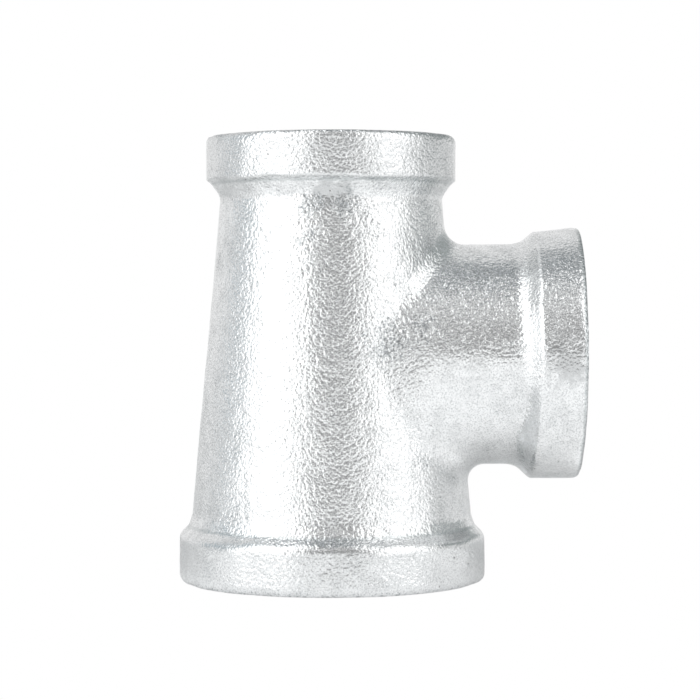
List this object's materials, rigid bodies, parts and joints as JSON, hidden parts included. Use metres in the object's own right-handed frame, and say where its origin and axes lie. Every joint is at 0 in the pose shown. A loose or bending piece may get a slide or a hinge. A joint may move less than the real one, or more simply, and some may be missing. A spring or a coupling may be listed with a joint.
{
  "type": "reducing pipe tee",
  "caption": "Galvanised malleable-iron pipe tee with banded threaded ends: its run tapers from a wide lower end to a narrower upper end, with a side branch.",
  "frame": {"origin": "centre of the large end's flat face, on the run's axis", "axes": "+Z along the run's axis, from the large end to the small end; +X along the branch's axis, out of its mouth"},
  "size_m": [0.071, 0.0546, 0.0786],
  "materials": {
    "machined_iron": "satin",
    "outer_zinc": "satin",
    "chamber_zinc": "satin"
  },
  "bodies": {
    "root": {"iron_casting": "machined_iron", "outer_zinc_coat": "outer_zinc", "chamber_zinc_coat": "chamber_zinc"}
  },
  "joints": []
}
